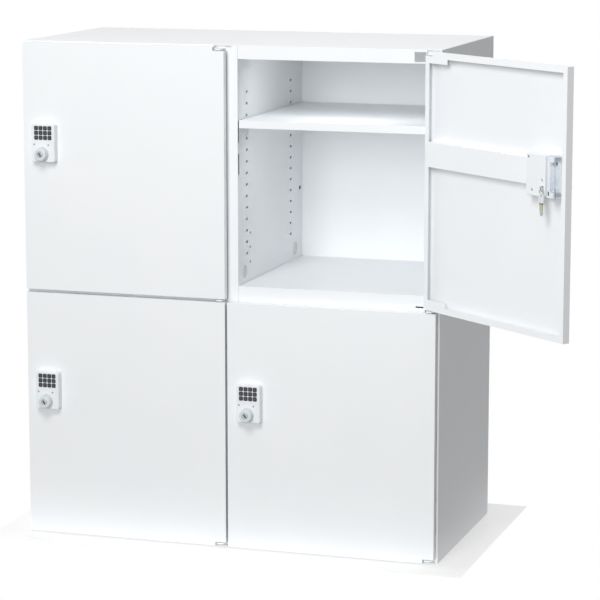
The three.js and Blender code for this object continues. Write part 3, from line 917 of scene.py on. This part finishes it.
@dataclass
class KeypadLock:
    """Keypad lock of one door: housing, keys, knob with its key cylinder, inner case and bolt."""

    site: DoorSite
    single_keys: bool = False
    corner: float = 5.0
    rim: float = 1.8
    key_size: float = 8.2
    key_corner: float = 1.64
    key_columns: int = 4
    key_rows: int = 3
    key_rim: float = 0.9
    key_gap: float = 0.35
    web_margin: float = 0.9
    well_depth: float = 3.5
    legend_height: float = 3.6
    legends: str = "1234567890"
    knob_seat_depth: float = 0.9
    knob_seat_gap: float = 0.8
    knob_rim: float = 2.4
    knob_draft: float = 1.0
    knob_lift: float = 0.6
    socket_depth: float = 1.2
    cylinder_sunk: float = 0.25
    cylinder_radius: float = 6.6
    keyhole_turn: float = 35.0
    keyhole_length: float = 9.0
    keyhole_width: float = 3.0
    lens_radius: float = 2.0
    lens_sunk: float = 0.15
    lens_from_sides: tuple[float, float] = (6.4, 14.0)
    lens_above_bottom: tuple[float, float] = (37.0, 36.0)
    dot_degrees: tuple[float, ...] = (150.0, 120.0, 90.0)
    dot_radius: float = 0.45
    dot_from_knob: float = 2.6
    bar_half: tuple[float, float] = (1.4, 0.3)
    spot_radius: float = 1.2
    cover_width: float = 57.0
    cover_rim: float = 1.6
    latch_drop: float = 0.5
    latch_plate: float = 0.8
    screw_radius: float = 2.6
    screw_shares: tuple[tuple[float, float], ...] = ((0.11, 0.09), (0.31, 0.86), (0.84, 0.6))
    screw_head: float = 0.9
    screw_sunk: float = 1.3
    bore_gap: float = 0.7
    cross_half: tuple[float, float] = (1.5, 0.28)
    seam_half: float = 0.2
    slot_size: tuple[float, float] = (2.1, 4.2)
    shade_gap: float = 0.1
    bar_width: float = 8.0
    tongue_height: float = 10.0
    tongue_sheet: float = 4.0

    def shape(self) -> Shape:
        """An empty shape at this door's place."""
        return Shape(self.site.place)

    def key_middles(self) -> list[tuple[float, float]]:
        """Find the middle of each key.

        Returns:
            X and Z of each, row by row from the top left.
        """
        inset = self.web_margin + self.key_size / 2
        xs = np.linspace(KEYPAD.x0 + inset, KEYPAD.x1 - inset, self.key_columns)
        zs = np.linspace(KEYPAD.z1 - inset, KEYPAD.z0 + inset, self.key_rows)
        return [(float(x), float(z)) for z in zs for x in xs]

    @property
    def knob_centre(self) -> tuple[float, float]:
        """Middle of the knob."""
        return KNOB.middle

    def square(self, middle: tuple[float, float], size: float, corner: float, steps: int = 3) -> np.ndarray:
        """Outline of a rounded square about a middle point."""
        (x, z), half = middle, size / 2
        return rectangle(x - half, x + half, z - half, z + half, corner, steps)

    def build_housing(self) -> None:
        """Housing: a rounded slab with a well for each key, a lens and a seat for the knob."""
        face = HOUSING.y0
        outline = rectangle(HOUSING.x0, HOUSING.x1, HOUSING.z0, HOUSING.z1, self.corner, 6)
        mouth, curve = self.key_size + 2 * self.key_gap, self.key_corner + self.key_gap
        hole = well(face, face + self.well_depth)
        wells = [(self.square(middle, mouth, curve), hole) for middle in self.key_middles()]
        x, z = self.knob_centre
        seat_radius = (KNOB.x1 - KNOB.x0) / 2 + self.knob_seat_gap
        seat = (circle(x, z, seat_radius, 40), well(face, face + self.knob_seat_depth))
        sides = (HOUSING.x0 + self.lens_from_sides[0], HOUSING.x1 - self.lens_from_sides[1])
        lens_places = [(side, HOUSING.z0 + up) for side, up in zip(sides, self.lens_above_bottom)]
        lenses = [(circle(u, v, self.lens_radius, 16), well(face, face + 0.6, 0.15)) for u, v in lens_places]
        body = self.shape().pierced(outline, rounded_rim(HOUSING.y1, face, self.rim), [*wells, seat, *lenses])
        node = f"{self.site.name}_lock_housing"
        body.make(f"moulded_housing_{self.site.name}", LOCK_ABS, self.site.body, "lock_plastic", (node,))
        marks = self.shape()
        for u, v in lens_places:
            marks.plate(circle(u, v, self.lens_radius - self.lens_sunk, 16), face + self.lens_sunk, 0.5, 0.12)
        reach = (KNOB.x1 - KNOB.x0) / 2 + self.dot_from_knob
        for angle in map(math.radians, self.dot_degrees):
            u, v = x + reach * math.cos(angle), z + reach * math.sin(angle)
            marks.plate(circle(u, v, self.dot_radius, 10), face - 0.04, 0.1, 0.02)
        marks.make(f"lock_lens_{self.site.name}", LENS, self.site.body, "lock_plastic")

    def key(self, shape: Shape, middle: tuple[float, float]) -> None:
        """One key cap: a rounded square with a soft rim."""
        outline = self.square(middle, self.key_size, self.key_corner, 4)
        profile = rounded_rim(KEYPAD.y1 - 0.2, KEYPAD.y0, self.key_rim, 0.1)
        shape.sweep(outline, profile, 0.0)

    def legend(self, shape: Shape, number: int, middle: tuple[float, float]) -> None:
        """The mark on one key: a figure, or a bar or a spot on the last two.

        Args:
            shape: takes the mark.
            number: the key's number, from nought.
            middle: its place in X and Z.
        """
        x, z = middle
        if number < len(self.legends):
            points, faces = numeral(self.legends[number], self.legend_height)
            shape.add(points + [x, KEYPAD.y0, z], faces)
            return
        mark = circle(x, z, self.spot_radius, 20)
        if number == len(self.legends):
            half_x, half_z = self.bar_half
            mark = rectangle(x - half_x, x + half_x, z - half_z, z + half_z, 0.2, 2)
        shape.plate(mark, KEYPAD.y0 - INK_HALF, 2 * INK_HALF, 0.01)

    def build_keys(self) -> None:
        """Keys and their marks: each on its own body, or all together."""
        name = self.site.name
        middles = self.key_middles()
        if not self.single_keys:
            caps, marks = self.shape(), self.shape()
            for number, middle in enumerate(middles):
                self.key(caps, middle)
                self.legend(marks, number, middle)
            caps.make(f"keypad_caps_{name}", KEY_SILICONE, self.site.body, "key_rubber", (f"{name}_keypad",))
            marks.make(f"keypad_figures_{name}", KEY_PRINT, self.site.body, "key_rubber")
            return
        for number, middle in enumerate(middles):
            cap, mark = self.shape(), self.shape()
            self.key(cap, middle)
            self.legend(mark, number, middle)
            body, node = f"push_key_{number + 1:02d}", f"{name}_push_key_{number + 1:02d}"
            cap.make(f"key_cap_{number + 1:02d}", KEY_SILICONE, body, "key_rubber", (node,))
            mark.make(f"key_figure_{number + 1:02d}", KEY_PRINT, body, "key_rubber")

    def build_knob(self) -> None:
        """Knob and key cylinder: a turned cap about a steel plug with a slanted keyhole, darkened inside by a
        plate of painted shade.
        """
        name, body = self.site.name, f"knob_{self.site.name}"
        x, z = self.knob_centre
        radius, face = (KNOB.x1 - KNOB.x0) / 2, KNOB.y0
        socket = (circle(x, z, self.cylinder_radius + 0.3, 32), well(face, face + self.socket_depth, 0.5))
        back = KNOB.y1 + self.knob_lift
        profile = rounded_rim(back, face, self.knob_rim, 0.6, 6)
        profile[:, 0] += self.knob_draft * (profile[:, 1] - back) / (face - back)
        knob = self.shape().pierced(circle(x, z, radius, 56), profile, [socket])
        knob.make(f"turning_knob_{name}", KNOB_ABS, body, "knob_plastic", (f"{name}_lock_knob",))
        front = face + self.cylinder_sunk
        slot = (self.keyhole(0.0), well(front, face + 1.6, 0.2))
        rim = rounded_rim(face + 2.0, front, 0.5, 0.1)
        plug = self.shape().pierced(circle(x, z, self.cylinder_radius, 32), rim, [slot])
        plug.make(f"key_cylinder_{name}", STEEL, body, "knob_plastic")
        # Painted shade: a dark plate sunk in the keyhole, where the slot's inner shadow would be.
        keyhole_shade = self.shape().plate(self.keyhole(0.1), face + 1.0, 0.5, 0.05)
        keyhole_shade.make(f"painted_keyhole_shade_{name}", RECESS_SHADE_AND_COLLAR, body, "knob_plastic")

    def keyhole(self, inset: float) -> np.ndarray:
        """Slot outline with round ends, turned about the knob's middle.

        Args:
            inset: how far it is drawn in on every side.

        Returns:
            Array of (x, z) points.
        """
        x, z = self.knob_centre
        half, side = self.keyhole_length / 2 - inset, self.keyhole_width / 2 - inset
        outline = rectangle(-side, side, -half, half, side * 0.98, 4)
        angle = math.radians(self.keyhole_turn)
        cos, sin = math.cos(angle), math.sin(angle)
        u, v = outline.T
        return np.stack([u * cos - v * sin + x, u * sin + v * cos + z], 1)

    def screw(self, heads: Shape, painted_shade: Shape, middle: tuple[float, float], face: float) -> None:
        """A pan-head screw with a cross drive drawn as a dark cross of painted shade, its head standing on a
        face towards +Y.

        Args:
            heads: takes the head.
            painted_shade: takes the dark cross of painted shade for the drive.
            middle: its place in X and Z.
            face: level of the face under the head.
        """
        x, z = middle
        head = rounded_rim(face - 0.3, face + self.screw_head, 0.7, 0.1)
        heads.sweep(circle(x, z, self.screw_radius, 20), head, 0.0)
        # Painted shade: the cross drive is not cut; two thin dark bars lie on the head.
        for half_x, half_z in (self.cross_half, self.cross_half[::-1]):
            outline = rectangle(x - half_x, x + half_x, z - half_z, z + half_z, 0.1, 1)
            painted_shade.plate(outline, face + 0.7, 0.23, 0.02)

    def build_case(self) -> None:
        """Inner case: a white cover with three screws, and the zinc latch body with its slot; dark plates of
        painted shade fill the screw drives and the slot's floor.
        """
        name, body = self.site.name, self.site.body
        seam = CASE.x1 - self.cover_width
        face, latch_face = CASE.y1, DOOR.y1 - self.latch_drop
        cover_span = Span(seam, CASE.y0, CASE.z0, CASE.x1, CASE.y1, CASE.z1)
        screws = [(cover_span.across(a), cover_span.down(d)) for a, d in self.screw_shares]
        bore, sunk = self.screw_radius + self.bore_gap, face - self.screw_sunk
        bores = [(circle(u, v, bore, 20), well(face, sunk, 0.3)) for u, v in screws]
        outline = rectangle(seam + self.seam_half, CASE.x1, CASE.z0, CASE.z1, 2.5, 5)
        cover = self.shape().pierced(outline, rounded_rim(CASE.y0, face, self.cover_rim), bores)
        cover.make(f"lock_cover_{name}", LOCK_ABS, body, "lock_plastic", (f"{name}_lock_case",))
        heads, painted_shade = self.shape(), self.shape()
        for middle in screws:
            self.screw(heads, painted_shade, middle, sunk)
        latch = Span(CASE.x0, CASE.y0, CASE.z0, seam - self.seam_half, latch_face, CASE.z1)
        step = latch_face - self.latch_plate
        outline = rectangle(latch.x0, latch.x1, latch.z0, latch.z1, 1.2, 3)
        block = self.shape().sweep(outline, rounded_rim(CASE.y0, step, 0.5, 0.2), 0.0)
        slot_x, slot_z = latch.across(0.62), latch.down(0.19)
        upper = (self.slot(slot_x, slot_z), well(latch_face, latch_face - 0.7, 0.15))
        plate = rectangle(latch.x0 + 0.4, latch.x1 - 0.2, latch.down(0.78), latch.z1 - 0.6, 0.8, 3)
        block.pierced(plate, rounded_rim(step, latch_face, 0.25, 0.05), [upper])
        block.make(f"latch_body_{name}", ZINC, body, "plated_steel")
        # Painted shade: a dark plate near the floor of the latch body's blind slot.
        shade = self.slot(slot_x, slot_z, self.shade_gap)
        painted_shade.plate(shade, latch_face - 0.68, 0.3, 0.05)
        heads.make(f"cover_screws_{name}", STEEL, body, "plated_steel")
        painted_shade.make(f"painted_drive_and_slot_shade_{name}", RECESS_SHADE_AND_COLLAR, body, "plated_steel")

    def slot(self, x: float, z: float, inset: float = 0.0) -> np.ndarray:
        """Outline of an upright slot with round ends, drawn in by an inset."""
        half_x, half_z = (half - inset for half in self.slot_size)
        return rectangle(x - half_x, x + half_x, z - half_z, z + half_z, half_x * 0.95, 4)

    def build_bolt(self) -> None:
        """Latch bolt: an upright bar with a slot near its foot, painted shade on the slot's floor, and two
        tongues towards the post.
        """
        name, body = self.site.name, f"bolt_{self.site.name}"
        bar = BOLT.x1 - self.bar_width
        middle = bar + self.bar_width / 2
        foot = BOLT.down(0.9)
        outline = rectangle(bar, BOLT.x1, BOLT.z0, BOLT.z1, 0.8, 3)
        hole = (self.slot(middle, foot), well(BOLT.y1, BOLT.y1 - 1.6, 0.2))
        bolt = self.shape().pierced(outline, rounded_rim(BOLT.y0, BOLT.y1, 0.6, 0.2), [hole])
        for z0, z1 in ((BOLT.z0, BOLT.z0 + self.tongue_height), (BOLT.z1 - self.tongue_height, BOLT.z1)):
            outline = rectangle(BOLT.x0, bar + 1.0, z0, z1, 0.8, 3)
            bolt.plate(outline, BOLT.y1 - self.tongue_sheet, self.tongue_sheet - 0.05, 0.5)
        bolt.make(f"latch_bolt_{name}_plated", ZINC, body, "plated_steel", (f"{name}_latch_bolt",))
        # Painted shade: a dark plate inside the bolt's blind slot.
        dark = self.shape().plate(self.slot(middle, foot, self.shade_gap), BOLT.y1 - 1.58, 0.5, 0.05)
        dark.make(f"painted_bolt_slot_shade_{name}", RECESS_SHADE_AND_COLLAR, body, "plated_steel")

    def build(self) -> None:
        """Every piece of the lock."""
        self.build_housing()
        self.build_keys()
        self.build_knob()
        self.build_case()
        self.build_bolt()


@dataclass
class SpareKey:
    """The lug on one lock's cover, and the key that hangs from it on a split ring."""

    site: DoorSite
    lug_radius: float = 5.0
    lug_hole: float = 2.6
    lug_sheet: float = 2.0
    lug_foot: float = 5.6
    ring_radius: float = 6.0
    ring_wire: float = 0.45
    head_half: float = 8.0
    head_top: float = -10.2
    head_bottom: float = -28.0
    head_sheet: float = 2.0
    eye: float = 2.1
    collar_bottom: float = -29.8
    brass_bottom: float = -43.0
    tip: float = -51.8
    blade_half: float = 4.6
    blade_sheet: float = 1.6

    @property
    def place(self) -> Place:
        """The lug's hole, where the key swings, turned with the door."""
        x, y, z = joint("spare_key_swing")["pos_m"]
        return Place(x / MM, y / MM, z / MM, self.site.turn)

    def ring_path(self) -> np.ndarray:
        """Two turns of a helix: radius times (sin, cos) of the angle, Y rising by one wire a turn."""
        angle = np.linspace(0, 4 * np.pi, 72)
        rise = 2 * self.ring_wire * (angle / (2 * np.pi) - 1)
        z = -self.ring_radius + self.ring_radius * np.cos(angle)
        return np.stack([self.ring_radius * np.sin(angle), rise, z], 1)

    def build(self) -> None:
        """Lug, ring, head, collar and the two finishes of the blade."""
        body = "spare_key"
        foot = [(-self.lug_foot, -self.lug_radius, 0.3), (self.lug_radius, -self.lug_radius, 4.8)]
        foot += [(self.lug_radius, self.lug_radius, 4.8), (-self.lug_foot, self.lug_radius, 0.3)]
        hole = circle(0.0, 0.0, self.lug_hole, 24)
        lug = Shape(self.place).drilled(
            rounded_outline(foot, 8), -self.lug_sheet / 2, self.lug_sheet, 0.3, [hole], Plane.YZ
        )
        lug.make("key_lug", ZINC, self.site.body, "plated_steel")
        coil = Shape(self.place).tube(self.ring_path(), self.ring_wire, 10)
        coil.make("split_ring", NICKEL, body, "key_brass")
        outline = rectangle(-self.head_half, self.head_half, self.head_bottom, self.head_top, 5.0, 6)
        eye = circle(0.0, self.head_top - self.eye - 1.2, self.eye, 20)
        head = Shape(self.place).drilled(outline, -self.head_sheet / 2, self.head_sheet, 0.6, [eye])
        head.make("key_head", KNOB_ABS, body, "key_brass", ("spare_key",))
        half, deep = self.blade_half, self.blade_sheet
        collar = rectangle(-half - 0.8, half + 0.8, self.collar_bottom, self.head_bottom + 0.4, 0.4, 2)
        Shape(self.place).plate(collar, -deep / 2, deep, 0.3).make("key_collar", RECESS_SHADE_AND_COLLAR, body, "key_brass")
        low, high = self.brass_bottom, self.collar_bottom + 0.4
        brass = [(-half, low), (half - 1.2, low), (half - 1.2, low + 2.6), (half, low + 4.4)]
        brass += [(half - 0.8, low + 6.6), (half, low + 8.6), (half, high), (-half, high)]
        outline = rounded_outline([(x, z, 0.3) for x, z in brass], 2)
        blade = Shape(self.place).plate(outline, -deep / 2 + 0.1, deep - 0.2, 0.2)
        blade.make("key_blade", KEY_BRASS, body, "key_brass")
        point = [(-half + 2.4, self.tip), (0.4, self.tip), (half - 1.6, self.tip + 3.0)]
        point += [(half - 1.2, low + 0.2), (-half, low + 0.2), (-half, self.tip + 2.8)]
        outline = rounded_outline([(x, z, 0.4) for x, z in point], 2)
        Shape(self.place).plate(outline, -deep / 2, deep, 0.25).make("key_tip", NICKEL, body, "key_brass")


# ---- Doors -------------------------------------------------------------------------------


@dataclass
class Door:
    """One door pan with its lock."""

    site: DoorSite
    fold: float = 0.5

    def build(self) -> None:
        """Pan, then lock."""
        coated(f"{self.site.name}_door", self.site.body, self.fold)
        KeypadLock(self.site, single_keys=self.site.name == "top_left").build()


# ---- Studio ------------------------------------------------------------------------------


@dataclass
class Studio:
    """Pale floor, soft lights and the camera."""

    azimuth: float = 17.86
    elevation: float = 9.88
    lens: float = 152.6
    stand: tuple[float, float, float] = (1.727, -5.096, 1.426)
    floor_size: tuple[float, float] = (1.04, 0.6)
    sky_fill: float = 0.24
    sky_seen: float = 1.0
    front_light: float = 1.06
    top_light: float = 0.35
    rear_light: float = 0.6
    left_light: float = 0.3
    strip_watts: float = 0.18
    strip_share: float = 0.6
    softbox_size: tuple[float, float] = (1.0, 1.2)
    softbox_place: tuple[float, float, float] = (0.1, -2.6, 2.6)
    softbox_watts: float = 44.0
    softbox_aim: tuple[float, float, float] = (0.0, 0.0, 0.6)
    strip_gap: float = 0.01
    strip_height: float = 0.02
    strip_aim: tuple[float, float, float] = (0.0, 0.55, -0.83)
    sun_distance: float = 5.0
    sun_spread: float = 24.0
    sensor: float = 36.0

    def floor(self) -> None:
        """A flat opal sheet, a little larger than the base: one rectangle."""
        x, y = self.floor_size[0] / 2, self.floor_size[1] / 2
        mesh = bpy.data.meshes.new("studio_floor")
        mesh.from_pydata([(-x, -y, 0), (x, -y, 0), (x, y, 0), (-x, y, 0)], [], [(0, 1, 2, 3)])
        mesh.materials.append(FLOOR_OPAL.material())
        floor = bpy.data.objects.new("studio_floor", mesh)
        bpy.context.scene.collection.objects.link(floor)

    def hang(
        self, data: bpy.types.Light | bpy.types.Camera, place: Vector | tuple[float, float, float],
        look: Vector,
    ) -> bpy.types.Object:
        """Put a lamp or the camera in its place.

        Args:
            data: the lamp or camera, whose name the new object takes.
            place: where it stands, in metres.
            look: the direction that it faces.

        Returns:
            The new object.
        """
        holder = bpy.data.objects.new(data.name, data)
        turn = look.to_track_quat("-Z", "Y").to_matrix().to_4x4()
        holder.matrix_world = Matrix.Translation(place) @ turn
        bpy.context.scene.collection.objects.link(holder)
        return holder

    def sun(self, name: str, towards: tuple[float, float, float], strength: float) -> None:
        """Hang one far, soft light.

        Args:
            name: its name.
            towards: the direction from the locker to the light.
            strength: its irradiance in watts per square metre.
        """
        lamp = bpy.data.lights.new(name, "SUN")
        lamp.energy, lamp.angle = strength, math.radians(self.sun_spread)
        self.hang(lamp, Vector(towards) * self.sun_distance, -Vector(towards))

    def softbox(self) -> None:
        """A rectangular softbox above and in front, so that the light falls off towards the floor."""
        lamp = bpy.data.lights.new("key_softbox", "AREA")
        lamp.shape, lamp.size, lamp.size_y, lamp.energy = "RECTANGLE", *self.softbox_size, self.softbox_watts
        aim = Vector(self.softbox_aim) - Vector(self.softbox_place)
        self.hang(lamp, self.softbox_place, aim).visible_camera = False

    def strips(self) -> None:
        """Two hidden strips that fill the open compartment, behind the header and the shelf's front."""
        shelf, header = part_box("top_right_shelf"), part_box("right_header")
        middle = (shelf[0].x + shelf[1].x) / 2
        depth = header[1].y + self.strip_gap
        for name, under in (("header_strip", header[0].z), ("shelf_strip", shelf[0].z)):
            lamp = bpy.data.lights.new(name, "AREA")
            lamp.shape, lamp.size_y, lamp.energy = "RECTANGLE", self.strip_height, self.strip_watts
            lamp.size = self.strip_share * (shelf[1].x - shelf[0].x)
            place = (middle, depth, under - self.strip_gap)
            self.hang(lamp, place, Vector(self.strip_aim)).visible_camera = False

    def sky(self) -> None:
        """A white room: faint as a light, bright where it is seen or mirrored."""
        world = bpy.data.worlds.new("studio_sky")
        world.use_nodes = True
        tree = world.node_tree
        rays = add_node(tree, "ShaderNodeLightPath").outputs
        either = {0: rays["Is Camera Ray"], 1: rays["Is Glossy Ray"]}
        seen = add_node(tree, "ShaderNodeMath", {"operation": "MAXIMUM"}, either).outputs[0]
        limits = {"To Min": self.sky_fill, "To Max": self.sky_seen}
        strength = add_node(tree, "ShaderNodeMapRange", limits, {"Value": seen})
        backdrop = tree.nodes["Background"]
        backdrop.inputs["Color"].default_value = (1.0, 1.0, 1.0, 1.0)
        tree.links.new(strength.outputs["Result"], backdrop.inputs["Strength"])
        bpy.context.scene.world = world

    def camera(self) -> None:
        """Stand the camera where the locker's proportions come out right, looking slightly down."""
        az, el = math.radians(self.azimuth), math.radians(self.elevation)
        look = Vector((-math.sin(az) * math.cos(el), math.cos(az) * math.cos(el), -math.sin(el)))
        data = bpy.data.cameras.new("camera")
        data.lens, data.sensor_width = self.lens, self.sensor
        bpy.context.scene.camera = self.hang(data, self.stand, look)

    def build(self) -> None:
        """Floor, sky, lights, camera and a plain tone curve."""
        self.floor()
        self.sky()
        self.sun("front_softbox", (0.0, -0.98, 0.17), self.front_light)
        self.softbox()
        self.strips()
        self.sun("rear_softbox", (-0.1, 0.7, 0.7), self.rear_light)
        self.sun("left_softbox", (-0.98, -0.1, 0.15), self.left_light)
        self.sun("top_softbox", (-0.2, -0.05, 0.97), self.top_light)
        bpy.context.scene.view_settings.view_transform = "Standard"
        self.camera()


# ---- The scene ---------------------------------------------------------------------------


def main() -> None:
    """Build every piece, then the studio."""
    logging.basicConfig(level=logging.INFO, format="%(name)s: %(message)s")
    Cabinet().build()
    Fittings().build()
    for tier in ("top", "bottom"):
        for column in ("left", "right"):
            Door(DoorSite(tier, column)).build()
    SpareKey(DoorSite("top", "right")).build()
    Studio().build()


if __name__ == "__main__":
    main()
